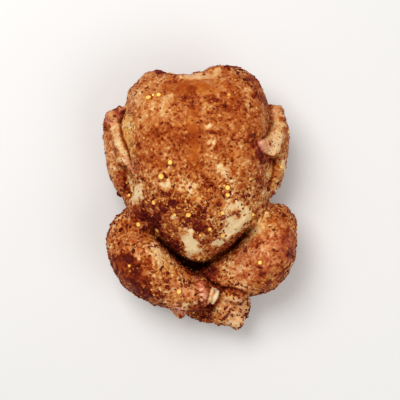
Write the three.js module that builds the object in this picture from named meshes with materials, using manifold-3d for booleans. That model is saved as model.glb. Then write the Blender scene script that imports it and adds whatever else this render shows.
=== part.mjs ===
// A whole raw chicken, dressed for the oven: plucked, no head, neck or feet, rubbed with spice, and lying on
// its back with the wings folded at its sides and the drumsticks crossed over the vent.
// Millimetres, +Z up. +Y points to the neck end, -Y to the tail. The origin is on the resting plane, under
// the middle of the bird. The flesh is one solid: every mass below is a sphere drawn out along a spine, and
// all of them are joined into one closed body that is cut flat where the back rests.
import * as THREE from "three";
import { mergeVertices } from "three/addons/utils/BufferGeometryUtils.js";
import Module from "manifold-3d";

const wasm = await Module();
wasm.setup();

// Driving dimensions of the bird.
const birdLength = 220; // neck end to tail tip
const breastHeight = 101; // resting plane to the highest point of the breast
const breastHalfWidth = 63.5; // at its widest, behind the shoulders
const waistHalfWidth = 56; // where breast meets thigh
const legHalfWidth = 24.5; // thickest part of a drumstick, seen from above
const legHalfHeight = 32;
const wingHalfWidth = 8.5;
const tailHalfWidth = 17;

// Places along the bird, from the middle.
const neckEnd = birdLength / 2 - 2;
const breastTip = -53.5;
const tailTip = -birdLength / 2;
const coreLevel = 48; // height of the torso's spine
const flatten = 7; // how far the back would sink below the resting plane if it didn't give

const UP = new THREE.Vector3(0, 0, 1);

// How far a ring reaches out at t (0 to 1) along a spine: 1 in the middle, rounding to 0 at both ends.
// A bluntness of 2 gives an ellipse; more gives blunter ends.
function roundedEnd(t, bluntness) {
  const u = Math.abs(2 * t - 1);
  return Math.pow(Math.max(0, 1 - Math.pow(u, bluntness)), 1 / bluntness);
}

// A mass of flesh: a sphere drawn out along a spine. Each station is [x, y, z, side, up, down]: a point of
// the spine, and how far the flesh reaches from it sideways, upwards and downwards.
function fleshMass({ stations, bluntness = 3, around = 24, along = 20, swell = () => 1, up = UP }) {
  const spine = new THREE.CatmullRomCurve3(stations.map((s) => new THREE.Vector3(s[0], s[1], s[2])));
  const girth = new THREE.CatmullRomCurve3(stations.map((s) => new THREE.Vector3(s[3], s[4], s[5])));
  const geometry = new THREE.SphereGeometry(1, around, along);
  const position = geometry.getAttribute("position");
  const point = new THREE.Vector3();
  for (let i = 0; i < position.count; i++) {
    point.fromBufferAttribute(position, i);
    const t = THREE.MathUtils.clamp((1 - point.y) / 2, 0, 1);
    const reach = roundedEnd(t, bluntness);
    const angle = Math.atan2(point.z, point.x);
    const centre = spine.getPoint(t);
    const size = girth.getPoint(t);
    const ahead = spine.getTangent(t);
    const sideways = new THREE.Vector3().crossVectors(ahead, up).normalize();
    const upwards = new THREE.Vector3().crossVectors(sideways, ahead).normalize();
    const out = reach * swell(angle, t);
    const lift = Math.sin(angle);
    centre.addScaledVector(sideways, Math.cos(angle) * size.x * out);
    centre.addScaledVector(upwards, lift * (lift > 0 ? size.y : size.z) * out);
    position.setXYZ(i, centre.x, centre.y, centre.z);
  }
  return solidOf(geometry);
}

// A closed three.js geometry as a solid that can be joined and cut.
function solidOf(geometry) {
  geometry.deleteAttribute("normal");
  geometry.deleteAttribute("uv");
  const merged = mergeVertices(geometry, 1e-4);
  const mesh = new wasm.Mesh({
    numProp: 3,
    vertProperties: merged.getAttribute("position").array,
    triVerts: new Uint32Array(merged.getIndex().array),
  });
  const solid = new wasm.Manifold(mesh);
  if (solid.volume() > 0) return solid;
  for (let i = 0; i < mesh.triVerts.length; i += 3) {
    [mesh.triVerts[i + 1], mesh.triVerts[i + 2]] = [mesh.triVerts[i + 2], mesh.triVerts[i + 1]];
  }
  return new wasm.Manifold(mesh);
}

// An ellipsoid at a place, turned about Z.
function ellipsoid([x, y, z], [rx, ry, rz], turnDegrees = 0) {
  const geometry = new THREE.SphereGeometry(1, 20, 14);
  geometry.scale(rx, ry, rz);
  geometry.rotateZ(THREE.MathUtils.degToRad(turnDegrees));
  geometry.translate(x, y, z);
  return solidOf(geometry);
}

// Breast and ribs. The breast is a plump dome with a soft groove along the keel between its two fillets, and
// it narrows to a blunt point between the legs.
function torso() {
  const up = breastHeight - coreLevel;
  const down = coreLevel + flatten;
  const z = coreLevel;
  const keelGroove = 0.035;
  const keelWidth = 0.17;
  const keelAngle = Math.PI / 2;
  const stations = [
    [-2, neckEnd - 1, z - 2, 50, 32, 30],
    [-3, 91, z, 58, 43, 46],
    [-4, 69, z, breastHalfWidth, 49, down],
    [-4, 46, z, breastHalfWidth - 1, up - 1, down],
    [-2, 22, z, waistHalfWidth + 1.5, up - 2, down],
    [-1, 1, z, waistHalfWidth + 2, up - 6, down],
    [-1, -18, z, 49, up - 12, down - 3],
    [-2, -35, z, 33, up - 20, down - 6],
    [-3, breastTip, z, 15, 22, 42],
  ];
  const swell = (angle, t) => {
    const off = (angle - keelAngle) / keelWidth;
    return 1 - keelGroove * Math.sin(Math.PI * t) * Math.exp(-off * off);
  };
  return fleshMass({ stations, bluntness: 3.6, around: 34, along: 28, swell });
}

// The two breast fillets, the full muscles on each side of the keel, with their blunt ends at the shoulders.
function fillets() {
  const minusX = [
    [-37, 106, 50, 19, 20, 24],
    [-36, 84, 55, 26, 31, 30],
    [-33, 54, 58, 30, 37, 30],
    [-27, 18, 57, 28, 36, 30],
    [-18, -16, 54, 22, 29, 28],
    [-7, -46, 50, 13, 21, 24],
  ];
  const plusX = [
    [19, 108, 50, 25, 22, 24],
    [25, 87, 55, 30, 32, 30],
    [27, 56, 58, 31, 37, 30],
    [24, 18, 57, 29, 36, 30],
    [16, -16, 54, 22, 29, 28],
    [4, -44, 50, 13, 21, 24],
  ];
  return [minusX, plusX].map((stations) => fleshMass({ stations, bluntness: 2.8, around: 22, along: 22 }));
}

// The rump: the flesh of the back under the legs, from the ribs to the root of the tail.
function rump() {
  const stations = [
    [0, 30, 26, 40, 18, 32],
    [0, -10, 25, 44, 18, 32],
    [0, -45, 24, 42, 14, 31],
    [4, -72, 22, 30, 10, 26],
    [8, -90, 20, 16, 8, 16],
  ];
  return fleshMass({ stations, bluntness: 3, around: 20, along: 12 });
}

// The tail: a fatty wedge that sticks out under the crossed drumsticks and ends in a point at one corner.
function tail() {
  const stations = [
    [10, -62, 30, tailHalfWidth, 12, 14],
    [19, -76, 32, tailHalfWidth + 3, 12, 14],
    [25, -89, 30, tailHalfWidth + 1, 11, 13],
    [28.5, -101, 27, 13, 8, 10],
    [30, tailTip - 1, 25, 6, 5, 6],
  ];
  return fleshMass({ stations, bluntness: 3, around: 16, along: 14 });
}

// The loose skin of the vent, a flap from under the drumsticks to the tail.
function ventSkin() {
  const stations = [
    [-14, -88, 27, 8, 5, 7],
    [-6, -94, 26, 8, 5, 7],
    [6, -96.5, 26, 9.5, 6, 8],
    [18, -99.5, 27, 9.5, 6, 8],
  ];
  return fleshMass({ stations, bluntness: 3, around: 12, along: 8 });
}

// The drumstick that lies on top, on the -X side: knee, calf and the bare hock over the vent.
function topDrumstick() {
  const stations = [
    [-62, -10, 42, 16, 20, 22],
    [-59, -33, 41, legHalfWidth - 1, 30, 28],
    [-48, -51.5, 41, legHalfWidth + 2, legHalfHeight, 30],
    [-32.6, -66.6, 43, 22.6, 27, 26],
    [-14.5, -76, 47, 18, 20, 20],
    [1, -80.5, 50, 13, 14, 14],
    [8.5, -83, 50, 9, 10, 10],
  ];
  return fleshMass({ stations, bluntness: 3.4, around: 24, along: 24 });
}

// The drumstick on the +X side. Its hock passes under the other one and its end comes out below.
function underDrumstick() {
  const stations = [
    [69, -4, 43, 14, 20, 22],
    [61.8, -30, 42, legHalfWidth - 1.6, 30, 28],
    [51.2, -52.2, 41, legHalfWidth + 1, legHalfHeight - 1, 30],
    [33.5, -61.6, 41, 21.3, 22, 25],
    [15.4, -64.8, 40, 14, 14, 16],
    [-2, -79, 34, 8, 9, 10],
    [-17, -92.5, 29, 6.5, 7, 7],
    [-22, -100.5, 27, 5, 5, 5],
  ];
  return fleshMass({ stations, bluntness: 3.4, around: 24, along: 26 });
}

// The skin that stretches from the belly over the thigh to each knee.
function kneeSkin(side) {
  const stations = [
    [side * 34, 10, 50, 12, 20, 20],
    [side * 43, -3, 48, 14, 20, 20],
    [side * 50, -15, 46, 14, 20, 20],
    [side * 54, -28, 44, 12, 20, 18],
  ];
  return fleshMass({ stations, bluntness: 2.6, around: 16, along: 12 });
}

// The thigh under each drumstick, from the hip forward to the knee.
function thigh(side) {
  const stations = [
    [side * 34, -68, 24, 20, 18, 26],
    [side * 46, -46, 25, 24, 22, 29],
    [side * 54, -22, 27, 22, 22, 28],
    [side * 58, -6, 30, 14, 17, 20],
  ];
  return fleshMass({ stations, bluntness: 3, around: 18, along: 12 });
}

// The upper arm of a wing, tight against the ribs from the shoulder to the elbow.
function upperArm(side, elbow) {
  const stations = [
    [side * 50, 78, 34, 14, 16, 17],
    [side * 58, 62, 32, 14, 17, 18],
    [side * 0.5 * (elbow + 61), 34, 30, 13, 16, 18],
    [side * elbow, 6, 30, 9, 12, 13],
  ];
  return fleshMass({ stations, bluntness: 3, around: 16, along: 12 });
}

// The forearm, folded forward from the elbow to the wrist. It is the outermost part of the wing.
function forearm(points) {
  const stations = points.map(([x, y, z, size]) => [x, y, z, wingHalfWidth * size, 15 * size, 18 * size]);
  return fleshMass({ stations, bluntness: 3.2, around: 14, along: 16 });
}

// The wing tip, folded back from the wrist and lying on the breast.
function wingTip(points) {
  const stations = points.map(([x, y, z, side, deep]) => [x, y, z, side, deep, deep]);
  return fleshMass({ stations, bluntness: 2.6, around: 12, along: 14 });
}

function wingOnMinusX() {
  const outer = [
    [-69, 78, 42, 0.8],
    [-73.3, 62, 42, 0.95],
    [-73, 45, 41, 1],
    [-70, 26, 40, 1],
    [-65, 9, 38, 0.85],
    [-58, 0, 36, 0.55],
  ];
  const folded = [
    [-68.5, 76, 49, 5.5, 7],
    [-68, 60, 56, 5.5, 6.5],
    [-64.5, 45, 61, 5, 6],
    [-59, 29, 62, 2.6, 4],
  ];
  return [upperArm(-1, 58), forearm(outer), wingTip(folded)];
}

function wingOnPlusX() {
  const outer = [
    [62, 79, 42, 0.8],
    [66, 62, 42, 0.95],
    [66.5, 42, 41, 1],
    [62.5, 23, 40, 1],
    [56, 7, 38, 0.8],
    [50, 0, 36, 0.5],
  ];
  const folded = [
    [64, 78, 47, 5.5, 7],
    [66, 62, 56, 6.5, 6.5],
    [61.5, 48, 65, 8.5, 6],
    [52.5, 45.5, 73, 5.5, 5],
    [46, 48.5, 78, 2, 2.5],
  ];
  return [upperArm(1, 53), forearm(outer), wingTip(folded)];
}

// The deep fold round the point of the breast, where the legs lie against it and the body opens at the vent.
// It is widest on the -X side and at the point, and it closes towards the knees.
function ventFold() {
  const stations = [
    [-42, -27, 62, 2.5, 30, 16],
    [-29.5, -39.5, 58, 4.5, 34, 30],
    [-17, -50.5, 56, 5.5, 36, 36],
    [-6, -56.5, 54, 6.5, 38, 38],
    [4, -55, 54, 4.5, 38, 36],
    [15, -47.5, 56, 3.5, 36, 32],
    [28, -38.5, 58, 3.5, 34, 28],
    [39, -27, 60, 3, 32, 22],
    [49, -13.5, 62, 2, 30, 14],
  ];
  return fleshMass({ stations, bluntness: 5, around: 10, along: 24 });
}

// The neck end: the notch between the shoulders where the neck was cut off, and the skin left round it.
function neckNotch() {
  return ellipsoid([-14, neckEnd + 6, 66], [25, 13, 34]);
}

function neckSkin() {
  const stations = [
    [-30, 97, 46, 6, 12, 14],
    [-14, 99.5, 45, 5, 13, 15],
    [2, 101.5, 46, 5, 13, 15],
    [18, 102, 48, 6, 12, 14],
  ];
  return fleshMass({ stations, bluntness: 3, around: 14, along: 10 });
}

// The surface that the bird rests on, as a block to cut the flattened back with.
function restingBlock() {
  const depth = 60;
  const geometry = new THREE.BoxGeometry(2 * birdLength, 2 * birdLength, depth);
  geometry.translate(0, 0, -depth / 2);
  return solidOf(geometry);
}

// Every mass joined into the one solid of the bird. The fold is cut before the legs are laid over it.
function birdSolid() {
  const joinAll = (masses) => masses.reduce((sum, mass) => sum.add(mass));
  const breast = joinAll([torso(), ...fillets()]).subtract(neckNotch());
  const trunk = joinAll([breast, rump(), thigh(-1), thigh(1)]).subtract(ventFold());
  const legs = [underDrumstick(), topDrumstick(), kneeSkin(-1), kneeSkin(1)];
  const wings = [...wingOnMinusX(), ...wingOnPlusX()];
  const ends = [tail(), ventSkin(), neckSkin()];
  return joinAll([trunk, ...legs, ...wings, ...ends]).subtract(restingBlock());
}

// A solid back as a three.js geometry, moved level so that the origin is under the middle of its box.
function centredGeometry(solid) {
  const mesh = solid.getMesh();
  const geometry = new THREE.BufferGeometry();
  geometry.setAttribute("position", new THREE.BufferAttribute(mesh.vertProperties, 3));
  geometry.setIndex(new THREE.BufferAttribute(mesh.triVerts, 1));
  geometry.computeBoundingBox();
  const middle = geometry.boundingBox.getCenter(new THREE.Vector3());
  geometry.translate(-middle.x, -middle.y, 0);
  geometry.computeVertexNormals();
  return geometry;
}

const rubbedSkin = new THREE.MeshStandardMaterial({ color: 0xa8622f, roughness: 0.55, metalness: 0 });

const chicken = new THREE.Mesh(centredGeometry(birdSolid()), rubbedSkin);
chicken.name = "chicken";

const part = new THREE.Group();
part.add(chicken);

export default part;
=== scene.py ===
"""A whole raw chicken, dressed for the oven and rubbed with paprika and chilli, lying on its back.

Metres, +Z up, +Y to the neck end. Every piece rides on the one body of the frame.
"""
import math

import bpy
import numpy as np
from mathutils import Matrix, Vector, noise
from mathutils.bvhtree import BVHTree


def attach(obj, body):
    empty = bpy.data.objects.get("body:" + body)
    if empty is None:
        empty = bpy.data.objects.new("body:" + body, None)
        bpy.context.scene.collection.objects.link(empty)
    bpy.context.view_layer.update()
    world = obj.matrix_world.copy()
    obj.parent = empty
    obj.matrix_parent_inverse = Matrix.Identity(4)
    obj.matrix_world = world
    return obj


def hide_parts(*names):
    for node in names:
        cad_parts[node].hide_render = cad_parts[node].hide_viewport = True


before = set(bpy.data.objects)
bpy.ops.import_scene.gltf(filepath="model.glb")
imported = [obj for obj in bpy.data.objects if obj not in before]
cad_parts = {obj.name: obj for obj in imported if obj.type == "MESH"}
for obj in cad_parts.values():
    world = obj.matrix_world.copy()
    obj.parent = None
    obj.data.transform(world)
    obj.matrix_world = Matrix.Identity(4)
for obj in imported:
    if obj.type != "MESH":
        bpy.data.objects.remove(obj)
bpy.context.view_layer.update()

# ------------------------------------------------------------------------------
# The flesh and skin. The bird is one piece of meat on the bone under a thin moist skin. It starts as the
# carcass of the frame; the loose skin, wing tips and joint ends are added to it as lumps of flesh, and all
# of it is drawn over with one new surface, which is then smoothed as skin smooths the muscles under it.
mm = 0.001
muscle_grid = 1.2 * mm  # spacing of the first mesh, of the bare muscles
skin_grid = 1.18 * mm  # spacing of the skin's mesh


def only(*pieces):
    """Selects these pieces alone, the first one active."""
    bpy.ops.object.select_all(action="DESELECT")
    for piece in pieces:
        piece.select_set(True)
    bpy.context.view_layer.objects.active = pieces[0]


def apply_modifier(piece, kind, **settings):
    """Adds one modifier, sets it and applies it."""
    only(piece)
    modifier = piece.modifiers.new(kind.title(), kind)
    for name, value in settings.items():
        setattr(modifier, name, value)
    bpy.ops.object.modifier_apply(modifier=modifier.name)


def lump(place, size, turn=(0, 0, 0)):
    """A rounded lump of flesh: its centre and half sizes in millimetres, and its turn in degrees."""
    bpy.ops.mesh.primitive_ico_sphere_add(
        subdivisions=4,
        radius=1,
        location=[value * mm for value in place],
        rotation=[math.radians(value) for value in turn],
        scale=[value * mm for value in size],
    )
    bpy.ops.object.transform_apply(location=True, rotation=True, scale=True)
    return bpy.context.object


def joined(name, first, others):
    """Joins pieces into the first one, under a new name."""
    only(first, *others)
    bpy.ops.object.join()
    first.name = name
    first.data.name = name
    return first


def fuse(piece, grid, smoothing):
    """Draws one new mesh of that spacing over all of a piece, and smooths it that many times."""
    apply_modifier(piece, "REMESH", mode="VOXEL", voxel_size=grid)
    apply_modifier(piece, "SMOOTH", factor=0.5, iterations=smoothing)


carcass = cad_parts["chicken"]
skin = carcass.copy()
skin.data = carcass.data.copy()
bpy.context.scene.collection.objects.link(skin)
skin.parent = None
skin.matrix_world.identity()
only(skin)
bpy.ops.object.mode_set(mode="EDIT")
bpy.ops.mesh.select_all(action="SELECT")
bpy.ops.mesh.remove_doubles(threshold=0.001 * mm)
bpy.ops.object.mode_set(mode="OBJECT")
# Fat that rounds the body out: along the breast by one wing, in the armpit of the other, at the knees, and
# along the bottom of the fold between the breast and one leg.
fat = [
    lump((-55.9, 62, 50), (9.5, 27, 24)),
    lump((58.2, 28, 44), (10, 20, 15), (0, 0, 6)),
    lump((-55.7, -62.8, 42), (12.6, 12.6, 18)),
    lump((-48, -69.2, 38), (12.9, 12.9, 16)),
    lump((68.8, -21, 42), (12.6, 13, 18)),
    lump((-57.9, 12, 40), (7, 20, 14), (0, 0, -6)),
    lump((-53.2, 87.5, 50), (8, 9, 16), (0, 0, -35)),
    lump((12.5, -49.2, 30.5), (7, 4.6, 11), (0, 0, 38)),
    lump((22, -42.9, 33), (8, 4.6, 11), (0, 0, 32)),
    lump((31.5, -35, 35.5), (8, 4.6, 11), (0, 0, 43)),
    lump((39.4, -27.2, 38.5), (7, 4.4, 10), (0, 0, 45)),
]
joined("chicken_skin", skin, fat)
fuse(skin, muscle_grid, smoothing=32)


def between(values, low, high):
    """0 below low, 1 above high, and straight between; a low above high turns it round."""
    return np.clip((values - low) / (high - low), 0, 1)


# Folds and creases lie on the bird's plan: the outline that an eye above the middle of the bird has of it,
# in millimetres at the height of its middle.
eye_height = 945 * mm
middle_height = 45 * mm


def in_plan(points):
    """Where points of the bird are on its plan, in metres."""
    closer = (eye_height - middle_height) / (eye_height - points[:, 2])
    return points[:, :2] * closer[:, None]


def distance_to_line(points, line):
    """How far points, on the plan or in space, are from a line of corners, in metres."""
    corners = np.array(line, float) * mm
    nearest = np.full(len(points), np.inf)
    for start, end in zip(corners[:-1], corners[1:]):
        along = end - start
        share = np.clip((points - start) @ along / (along @ along), 0, 1)
        gap = np.linalg.norm(points - start - share[:, None] * along, axis=1)
        nearest = np.minimum(nearest, gap)
    return nearest


def read_vertices(piece):
    """The places and normals of a mesh's vertices."""
    count = len(piece.data.vertices)
    places = np.empty(count * 3, np.float32)
    normals = np.empty(count * 3, np.float32)
    piece.data.vertices.foreach_get("co", places)
    piece.data.vertices.foreach_get("normal", normals)
    return places.reshape(-1, 3).astype(float), normals.reshape(-1, 3).astype(float)


def write_vertices(piece, places):
    """Moves a mesh's vertices to new places."""
    piece.data.vertices.foreach_set("co", places.astype(np.float32).ravel())
    piece.data.update()


# The open fold round the point of the breast, from knee to knee. Each stretch of it is a half width and a
# depth in millimetres, and its line. It fades out toward the back, where the legs touch the body.
fold_ends = 18 * mm  # no fold below this height
fold_full = 38 * mm  # and its full depth above this one
fold_stretches = [
    (1.5, 6, [(-40.8, -27.2), (-35, -32.5)]),
    (1.9, 10, [(-35, -32.5), (-30.8, -36.7), (-25.7, -41.9)]),
    (2.2, 16, [(-25.7, -41.9), (-20.3, -46.8), (-15.1, -51.2)]),
    (3.0, 22, [(-15.1, -51.2), (-10.6, -54.2)]),
    (3.7, 26, [(-10, -54.6), (-5.3, -56.6), (-1.5, -57)]),
    (2.0, 12, [(-0.5, -57), (4.1, -55.8), (6.5, -54)]),
    (1.3, 3.4, [(6.5, -54), (14.3, -48.2), (21.3, -44), (28.3, -39.2)]),
    (1.7, 4.0, [(25.5, -41), (28.3, -39.2), (31.8, -34.3), (35.3, -30.8), (38, -28.6)]),
    (1.4, 3.6, [(38, -28.6), (42.3, -24.5), (45.1, -21.1)]),
    (1.2, 3.0, [(45.1, -21.1), (49.3, -14.8), (52.1, -11.2)]),
]


def fold_depth(plan):
    """How deep the fold is pressed in at each plan point, in metres. Its flanks are one half width wide."""
    sunk = np.zeros(len(plan))
    for half_width, depth, line in fold_stretches:
        inside = between(distance_to_line(plan, line) / (half_width * mm), 1.5, 0.5)
        sunk = np.maximum(sunk, depth * mm * inside * inside * (3 - 2 * inside))
    return sunk


places, normals = read_vertices(skin)
places[:, 2] -= fold_depth(in_plan(places)) * between(places[:, 2], fold_ends, fold_full)
write_vertices(skin, places)

# The wing on the -X side: a raw knobbly wrist, and the flat hand folded back along the breast.
wing_lumps = [
    lump((-66.6, 74.5, 54), (4, 4.5, 5.5)),
    lump((-73.7, 70.3, 52), (6, 5, 6.5), (0, 0, 20)),
    lump((-77.3, 63.3, 48), (3.4, 5.5, 7)),
    lump((-70.8, 64.4, 56), (5.2, 6, 6), (8, 0, 6)),
    lump((-70.1, 57.7, 57), (5.4, 6.5, 5.5), (8, 0, 6)),
    lump((-68.9, 51, 58.5), (5.6, 6.5, 5.2), (8, 0, 12)),
    lump((-66.5, 44.2, 61), (5.6, 6, 5), (8, 0, 16)),
    lump((-64.5, 39.2, 63), (5.4, 5.5, 4.8), (8, 0, 20)),
    lump((-62.7, 34.2, 64.5), (5.4, 5, 4.5), (8, 0, 20)),
    lump((-66.4, 32.6, 62), (3.0, 3.2, 4)),
    lump((-61.2, 30.1, 65.5), (3.8, 4.5, 4.0), (8, 0, 24)),
    lump((-59.0, 27.4, 67), (2.2, 3.2, 2.8), (8, 0, 24)),
    lump((-62.5, 20, 43), (5.5, 15, 12), (0, 0, -6)),
]
# The wing on the +X side: its hand is a broad wedge that lies on the breast and ends in a raw pink point.
wing_lumps += [
    lump((63.6, 73.4, 52), (6.6, 5.6, 7)),
    lump((59.2, 67, 50), (5.5, 13, 9)),
    lump((65.1, 66.1, 56), (6.6, 6.5, 6.5)),
    lump((64.5, 59.2, 60), (6.6, 7, 6), (6, 6, 0)),
    lump((62.3, 53.1, 64), (7.2, 6.4, 5.6), (6, 16, 0)),
    lump((61.1, 47.3, 66), (8, 6, 5), (4, 26, 0)),
    lump((52.6, 45.4, 76), (6.6, 5.6, 3.8), (0, 40, -14)),
    lump((58.4, 42.2, 69.5), (9, 5.4, 4.6), (0, 34, 4)),
    lump((58.9, 38.4, 69), (6.4, 3.8, 4), (0, 30, 0)),
    lump((63.5, 46, 57), (7, 10, 8)),
    lump((47.9, 46, 82.5), (3.4, 3, 2.6), (0, 36, 0)),
]
# The neck end: the loose skin of the neck, folded over the notch between the shoulders.
neck_lumps = [
    lump((-13, 98, 60), (15, 4, 12), (8, 0, -3)),
    lump((2.5, 102.6, 62), (11, 4, 11), (8, 0, 5)),
    lump((-1, 97, 72), (20, 3.6, 8), (30, 0, 2)),
    lump((12, 105.8, 66), (9, 4.4, 8), (16, 0, 6)),
    lump((22, 106, 60), (8, 4.6, 12)),
    lump((-36, 100, 62), (6, 4, 6), (0, 0, 20)),
    lump((-33.2, 105, 54), (2.6, 2.6, 3)),
]
# The tail: a fat wedge, cut across at its corner, with the parson's nose at the tip.
tail_lumps = [
    lump((23.1, -86, 38), (15, 11, 6), (-14, 6, -20)),
    lump((30.1, -99, 31), (9, 10, 6), (-16, 0, -10)),
    lump((30.9, -104.8, 28.5), (6, 7, 5)),
    lump((19, -102.3, 28), (9, 5, 5)),
    lump((32.8, -82.6, 33), (8.6, 8.6, 8), (0, 0, 30)),
    lump((13.1, -92, 32), (9, 7, 5), (-14, 0, 20)),
    lump((19, -97, 34.5), (10, 7, 5), (-22, 0, -8)),
    lump((22.5, -101.6, 29), (8.5, 6, 5)),
    lump((28, -79.5, 43.5), (12.5, 8, 9), (-24, 0, -8)),
]
# The hocks: the ring of meat where each foot was cut off.
hock_lumps = [
    lump((0.4, -76, 56), (6.5, 11, 8.5), (0, 0, 4)),
    lump((-18.5, -92.5, 31), (6.5, 5, 6)),
    lump((-16.6, -97.5, 29), (3.4, 4.4, 4)),
    lump((-23, -91.5, 31), (3.4, 3.6, 5)),
]
joined("chicken_skin", skin, wing_lumps + neck_lumps + tail_lumps + hock_lumps)
fuse(skin, skin_grid, smoothing=4)

# The creases, where skin folds in against the next muscle, and a few ridges of loose skin, which stand up.
# Each is a depth (less than 0 stands up) and half width in millimetres, the lowest height that it reaches,
# and its line.
creases = [
    (3.4, 1.3, 40, [(-64.9, 76), (-67.5, 67)]),
    (1.9, 1.1, 40, [(-67.5, 67), (-66.7, 59.5), (-65.6, 52), (-61.6, 42.5), (-58.4, 30)]),
    (0.9, 1.6, 35, [(-76.4, 58), (-74.9, 50), (-70.4, 40), (-68.9, 33), (-62.9, 27.5)]),
    (1.5, 1.6, 35, [(-62.9, 27), (-63.3, 20), (-62.3, 12), (-60.7, 6.5), (-59.3, 3)]),
    (-1.0, 1.1, 35, [(-60.7, 23), (-59.1, 16.5), (-57.9, 10)]),
    (1.7, 1.2, 50, [(48.6, 46.6), (51.1, 42.5), (54.1, 38.4), (60, 36), (65, 36)]),
    (1.4, 1.2, 50, [(65, 36), (69.1, 42), (70.9, 51.8)]),
    (1.2, 1.2, 40, [(59.1, 78), (59.5, 67), (59.3, 61)]),
    (1.7, 1.1, 40, [(59.3, 61), (59.1, 59.3), (57.5, 55.3), (54.1, 52.6), (48.6, 49.4)]),
    (1.7, 1.6, 35, [(62.1, 33.5), (62.1, 26.5), (60.8, 20), (57.4, 11.5)]),
    (1.6, 1.8, 45, [(58.6, 0), (53.6, -10), (51.1, -19)]),
    (2.8, 1.4, 30, [(3, -62.3), (10.3, -70.5), (17.6, -74.2), (27, -74.6), (34.4, -76.2), (38.4, -79)]),
    (1.3, 1.4, 30, [(12.9, -87), (9.6, -89.4), (5.4, -89.4)]),
    (1.1, 1.1, 20, [(-10, -91.2), (-6.2, -90), (-0.5, -88.6)]),
    (1.5, 1.0, 20, [(-0.5, -88.6), (2, -93.6), (5.4, -99.9)]),
    (0.9, 1.0, 60, [(-13, 99.8), (-5, 100.2), (5.5, 102)]),
    (0.9, 0.7, 60, [(7, 58.4), (9, 57.2), (11.6, 56)]),
    (0.8, 0.7, 60, [(6.8, 47), (9.8, 45.2)]),
    (-0.7, 1.0, 60, [(12.4, 53.6), (12, 49), (10.6, 44.5)]),
    (0.9, 0.9, 60, [(4.1, 106), (11.1, 102.5), (17.1, 104), (25.1, 105)]),
    (0.8, 0.8, 60, [(9.1, 108.5), (15.1, 106.5), (23.1, 108)]),
    (-0.9, 2.2, 60, [(10.6, 63.5), (18.6, 65), (29.6, 64), (38.1, 60), (41.6, 53.5)]),
    (0.6, 1.6, 60, [(10.1, 60), (18.1, 61.5), (28.1, 60), (35.1, 56)]),
    (-1.2, 2.6, 60, [(39.1, -14), (31.1, -24), (19.1, -36)]),
    (0.8, 2.2, 60, [(-5.9, 90), (-3.9, 60), (-4.9, 30), (-0.9, 5)]),
]
# Creases that can't be seen on the plan lie on lines in space: the loose skin of the neck, drawn down over
# the stump and tucked under, the fold between each upper arm and forearm, and the one under each leg.
side_creases = [
    (-1.6, 3.0, [(-33, 98, 42), (-24, 101, 28), (-8, 104, 21), (8, 105, 20), (24, 104, 27), (34, 100, 41)]),
    (2.6, 2.0, [(-30, 98, 33), (-22, 100, 22), (-8, 102, 15), (8, 103, 14), (24, 102, 21), (32, 98, 33)]),
    (1.2, 1.6, [(-12, 104, 64), (-9, 107, 48), (-10, 107, 34)]),
    (1.4, 1.8, [(1, 106, 62), (3, 109, 46), (0, 108, 32)]),
    (1.0, 1.5, [(16, 109, 60), (13, 109, 48), (15, 108, 36)]),
    (1.8, 2.0, [(70, 58, 27), (69, 38, 24), (66, 20, 23), (61, 8, 25)]),
    (1.8, 2.0, [(-74, 60, 27), (-75, 40, 24), (-72, 22, 23), (-66, 8, 25)]),
    (2.4, 3.2, [(79, -34, 30), (74, -54, 28), (60, -70, 27), (42, -78, 27)]),
    (2.4, 3.2, [(-79, -38, 30), (-73, -58, 28), (-60, -74, 27), (-42, -83, 27)]),
    (1.6, 2.2, [(62, 84, 40), (68, 79, 30), (66, 74, 18)]),
    (1.6, 2.2, [(-62, 86, 40), (-69, 80, 30), (-68, 74, 18)]),
]
places, normals = read_vertices(skin)
for depth, half_width, line in side_creases:
    near = np.exp(-((distance_to_line(places, line) / (half_width * mm)) ** 2))
    places -= normals * (near * depth * mm)[:, None]
write_vertices(skin, places)
shadow_from = 0.7  # a crease is dark if it is deeper than this, in millimetres
shadow_full = 2.3  # and at its darkest from this depth on
steepest = -0.3  # a crease of the plan doesn't reach skin that faces down more than this
places, normals = read_vertices(skin)
plan = in_plan(places)
# The crease paint is painted shade: the skin in each crease of the plan is painted darker the deeper the
# crease is pressed.
crease = np.zeros(len(places))
for depth, half_width, lowest, line in creases:
    near = np.exp(-((distance_to_line(plan, line) / (half_width * mm)) ** 2))
    near *= (places[:, 2] > lowest * mm) & (normals[:, 2] > steepest)
    places -= normals * (near * depth * mm)[:, None]
    crease = np.maximum(crease, near * between(depth, shadow_from, shadow_full))
write_vertices(skin, places)


def add_bumps(piece, size, height, seed):
    """Raises and lowers the surface softly: bumps of that size and height in millimetres. Each seed takes
    them from another place of the same noise."""
    texture = bpy.data.textures.new(f"{piece.name}_bumps_{seed}", "CLOUDS")
    texture.noise_scale = size * mm
    texture.noise_depth = 1
    origin = bpy.data.objects.new(f"bumps_from_{seed}", None)
    origin.location = (seed * 0.37, seed * 0.11, seed * 0.23)
    bpy.context.scene.collection.objects.link(origin)
    bpy.context.view_layer.update()
    apply_modifier(
        piece,
        "DISPLACE",
        texture=texture,
        strength=height * mm,
        mid_level=0.5,
        texture_coords="OBJECT",
        texture_coords_object=origin,
    )
    bpy.data.objects.remove(origin)


add_bumps(skin, 26, 3.0, seed=1)
add_bumps(skin, 8, 1.3, seed=2)
add_bumps(skin, 3, 0.7, seed=3)
# The bird is pressed flat where it rests, so nothing may go below the resting plane.
places, normals = read_vertices(skin)
places[:, 2] = np.maximum(places[:, 2], 0)
write_vertices(skin, places)
only(skin)
bpy.ops.object.shade_smooth()
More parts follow.
